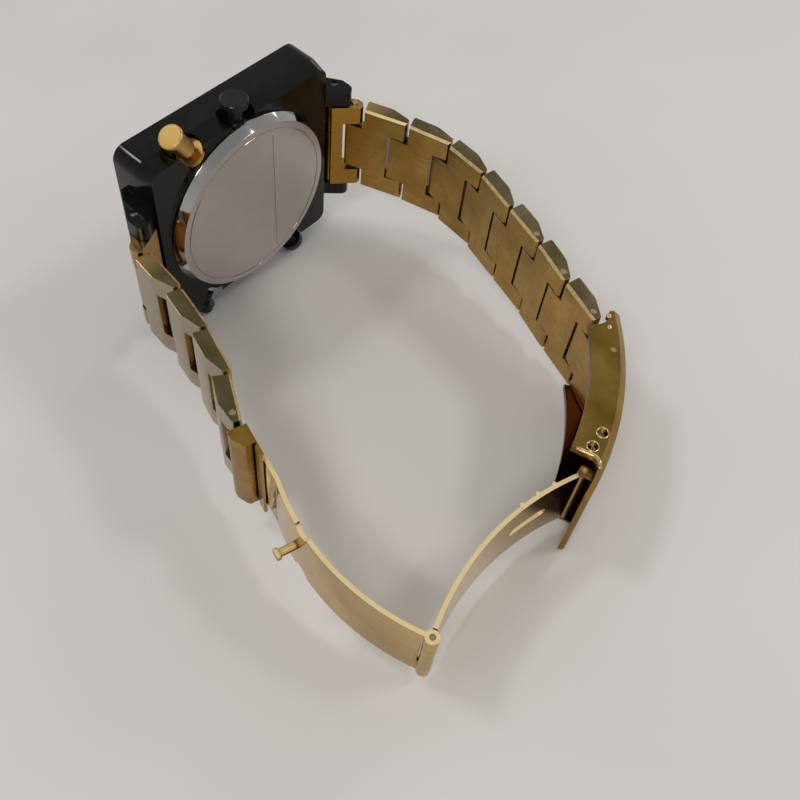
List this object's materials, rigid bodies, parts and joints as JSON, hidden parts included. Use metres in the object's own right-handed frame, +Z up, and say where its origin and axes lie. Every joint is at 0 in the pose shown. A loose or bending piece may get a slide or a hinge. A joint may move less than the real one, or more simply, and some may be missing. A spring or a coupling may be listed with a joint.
{
  "type": "quartz wrist watch",
  "caption": "Square black quartz watch lying on its side, with a gold link bracelet and its folding clasp open.",
  "frame": {"origin": "middle of the outline on the table, at the lowest rims", "axes": "+Z up, +Y along the strap loop towards the dial side of the case, +X towards the 12 o'clock chain"},
  "size_m": [0.0906, 0.111, 0.0532],
  "materials": {
    "case_black": "black gloss plating",
    "crystal": "flat mineral glass",
    "seal": "matte",
    "dial_black": "satin black",
    "marker_gold": "polished",
    "hand_light": "satin",
    "ring_plastic": "matte",
    "movement_metal": "satin",
    "steel": "polished steel",
    "back_steel": "brushed with a polished slope",
    "crown_black": "black gloss plating",
    "pusher_gold": "satin",
    "link_gold": "brushed, gold plated",
    "pin_gold": "polished, gold plated",
    "cover_gold": "satin, gold plated",
    "blade_gold": "polished, gold plated"
  },
  "bodies": {
    "case": {"case_middle": "case_black", "bezel": "case_black", "crystal": "crystal", "crystal_gasket": "seal", "dial": "dial_black", "dial_markers": "marker_gold", "movement_ring": "ring_plastic", "movement": "movement_metal", "battery": "steel", "case_back": "back_steel", "back_gasket": "seal", "crown_tube": "steel", "pusher_tubes": "steel", "lug_bars": "steel"},
    "hour_hand": {"hour_hand": "marker_gold"},
    "minute_hand": {"minute_hand": "marker_gold"},
    "second_hand": {"second_hand": "hand_light"},
    "stem": {"stem": "steel"},
    "crown": {"crown": "crown_black"},
    "pusher_4": {"pusher_4": "pusher_gold"},
    "pusher_8": {"pusher_8": "crown_black"},
    "pusher_10": {"pusher_10": "crown_black"},
    "end_link_12": {"end_link_12": "link_gold", "pin_12_1": "pin_gold"},
    "link_12_1": {"link_12_1": "link_gold", "pin_12_2": "pin_gold"},
    "link_12_2": {"link_12_2": "link_gold", "pin_12_3": "pin_gold"},
    "link_12_3": {"link_12_3": "link_gold", "pin_12_4": "pin_gold"},
    "link_12_4": {"link_12_4": "link_gold", "pin_12_5": "pin_gold"},
    "link_12_5": {"link_12_5": "link_gold", "pin_12_6": "pin_gold"},
    "link_12_6": {"link_12_6": "link_gold", "pin_12_7": "pin_gold"},
    "link_12_7": {"link_12_7": "link_gold", "pin_12_8": "pin_gold"},
    "link_12_8": {"link_12_8": "link_gold"},
    "cover": {"cover": "cover_gold", "cover_catch": "blade_gold", "spring_bar": "pin_gold", "pivot_pin": "pin_gold"},
    "blade_b": {"blade_b": "blade_gold", "hinge_pin": "pin_gold"},
    "blade_c": {"blade_c": "blade_gold", "lock_post": "blade_gold", "bracket": "cover_gold", "bracket_bar": "pin_gold"},
    "end_link_6": {"end_link_6": "link_gold", "pin_6_1": "pin_gold"},
    "link_6_1": {"link_6_1": "link_gold", "pin_6_2": "pin_gold"},
    "link_6_2": {"link_6_2": "link_gold", "pin_6_3": "pin_gold"},
    "link_6_3": {"link_6_3": "link_gold", "pin_6_4": "pin_gold"},
    "link_6_4": {"link_6_4": "link_gold", "pin_6_5": "pin_gold"}
  },
  "joints": [
    {"name": "minute_turn", "type": "hinge", "parent": "case", "child": "minute_hand", "pos_m": [0.00824, 0.04933, 0.0273], "axis": [0, 0.9869, 0.1613], "continuous": true},
    {"name": "hour_turn", "type": "hinge", "parent": "case", "child": "hour_hand", "pos_m": [0.00824, 0.04933, 0.0273], "axis": [0, 0.9869, 0.1613], "continuous": true},
    {"name": "second_turn", "type": "hinge", "parent": "case", "child": "second_hand", "pos_m": [0.00824, 0.04933, 0.0273], "axis": [0, 0.9869, 0.1613], "continuous": true},
    {"name": "crown_pull", "type": "slide", "parent": "case", "child": "stem", "axis": [0, -0.1613, 0.9869], "range_m": [0, 0.001]},
    {"name": "crown_turn", "type": "hinge", "parent": "stem", "child": "crown", "pos_m": [0.00824, 0.03917, 0.05165], "axis": [0, -0.1613, 0.9869], "continuous": true},
    {"name": "pusher_4_press", "type": "slide", "parent": "case", "child": "pusher_4", "axis": [0.5255, 0.1372, -0.8397], "range_m": [0, 0.0012], "stiffness_N_per_m": 500, "springref_m": -0.002},
    {"name": "pusher_8_press", "type": "slide", "parent": "case", "child": "pusher_8", "axis": [0.5, -0.1397, 0.8547], "range_m": [0, 0.0012], "stiffness_N_per_m": 500, "springref_m": -0.002},
    {"name": "pusher_10_press", "type": "slide", "parent": "case", "child": "pusher_10", "axis": [-0.5, -0.1397, 0.8547], "range_m": [0, 0.0012], "stiffness_N_per_m": 500, "springref_m": -0.002},
    {"name": "lug_12_hinge", "type": "hinge", "parent": "case", "child": "end_link_12", "pos_m": [0.03554, 0.04262, 0.0262], "axis": [0, -0.1613, 0.9869], "range_deg": [0, 30]},
    {"name": "link_12_1_hinge", "type": "hinge", "parent": "end_link_12", "child": "link_12_1", "pos_m": [0.0373, 0.03811, 0.02546], "axis": [0, -0.1613, 0.9869], "range_deg": [0, 20]},
    {"name": "link_12_2_hinge", "type": "hinge", "parent": "link_12_1", "child": "link_12_2", "pos_m": [0.04092, 0.02828, 0.02386], "axis": [0, -0.1613, 0.9869], "range_deg": [0, 16]},
    {"name": "link_12_3_hinge", "type": "hinge", "parent": "link_12_2", "child": "link_12_3", "pos_m": [0.04349, 0.01813, 0.0222], "axis": [0, -0.1613, 0.9869], "range_deg": [0, 30]},
    {"name": "link_12_4_hinge", "type": "hinge", "parent": "link_12_3", "child": "link_12_4", "pos_m": [0.04238, 0.00772, 0.0205], "axis": [0, -0.1613, 0.9869], "range_deg": [0, 22]},
    {"name": "link_12_5_hinge", "type": "hinge", "parent": "link_12_4", "child": "link_12_5", "pos_m": [0.0391, -0.00223, 0.01887], "axis": [0, -0.1613, 0.9869], "range_deg": [0, 10]},
    {"name": "link_12_6_hinge", "type": "hinge", "parent": "link_12_5", "child": "link_12_6", "pos_m": [0.03583, -0.01218, 0.01725], "axis": [0, -0.1613, 0.9869], "range_deg": [0, 15]},
    {"name": "link_12_7_hinge", "type": "hinge", "parent": "link_12_6", "child": "link_12_7", "pos_m": [0.03169, -0.02181, 0.01567], "axis": [0, -0.1613, 0.9869], "range_deg": [0, 8]},
    {"name": "link_12_8_hinge", "type": "hinge", "parent": "link_12_7", "child": "link_12_8", "pos_m": [0.02789, -0.03157, 0.01408], "axis": [0, -0.1613, 0.9869], "range_deg": [0, 20]},
    {"name": "cover_hinge", "type": "hinge", "parent": "link_12_8", "child": "cover", "pos_m": [0.02315, -0.03936, 0.01281], "axis": [0, -0.1613, 0.9869], "range_deg": [0, 4]},
    {"name": "blade_b_hinge", "type": "hinge", "parent": "cover", "child": "blade_b", "pos_m": [-0.00002, -0.04994, 0.01108], "axis": [0, -0.1613, 0.9869], "range_deg": [0, 30]},
    {"name": "blade_c_hinge", "type": "hinge", "parent": "blade_b", "child": "blade_c", "pos_m": [-0.04012, -0.04994, 0.01108], "axis": [0, -0.1613, 0.9869], "range_deg": [-50, 60]},
    {"name": "lug_6_hinge", "type": "hinge", "parent": "case", "child": "end_link_6", "pos_m": [-0.01906, 0.04262, 0.0262], "axis": [0, 0.1613, -0.9869], "range_deg": [0, 30]},
    {"name": "link_6_1_hinge", "type": "hinge", "parent": "end_link_6", "child": "link_6_1", "pos_m": [-0.02201, 0.03876, 0.02557], "axis": [0, 0.1613, -0.9869], "range_deg": [-15, 10]},
    {"name": "link_6_2_hinge", "type": "hinge", "parent": "link_6_1", "child": "link_6_2", "pos_m": [-0.0233, 0.02838, 0.02387], "axis": [0, 0.1613, -0.9869], "range_deg": [-10, 10]},
    {"name": "link_6_3_hinge", "type": "hinge", "parent": "link_6_2", "child": "link_6_3", "pos_m": [-0.02577, 0.0182, 0.02221], "axis": [0, 0.1613, -0.9869], "range_deg": [-8, 10]},
    {"name": "link_6_4_hinge", "type": "hinge", "parent": "link_6_3", "child": "link_6_4", "pos_m": [-0.02923, 0.00831, 0.0206], "axis": [0, 0.1613, -0.9869], "range_deg": [-5, 6]}
  ],
  "couplings": [
    {"joint": "hour_turn", "follows": "minute_turn", "ratio": 0.083333}
  ]
}
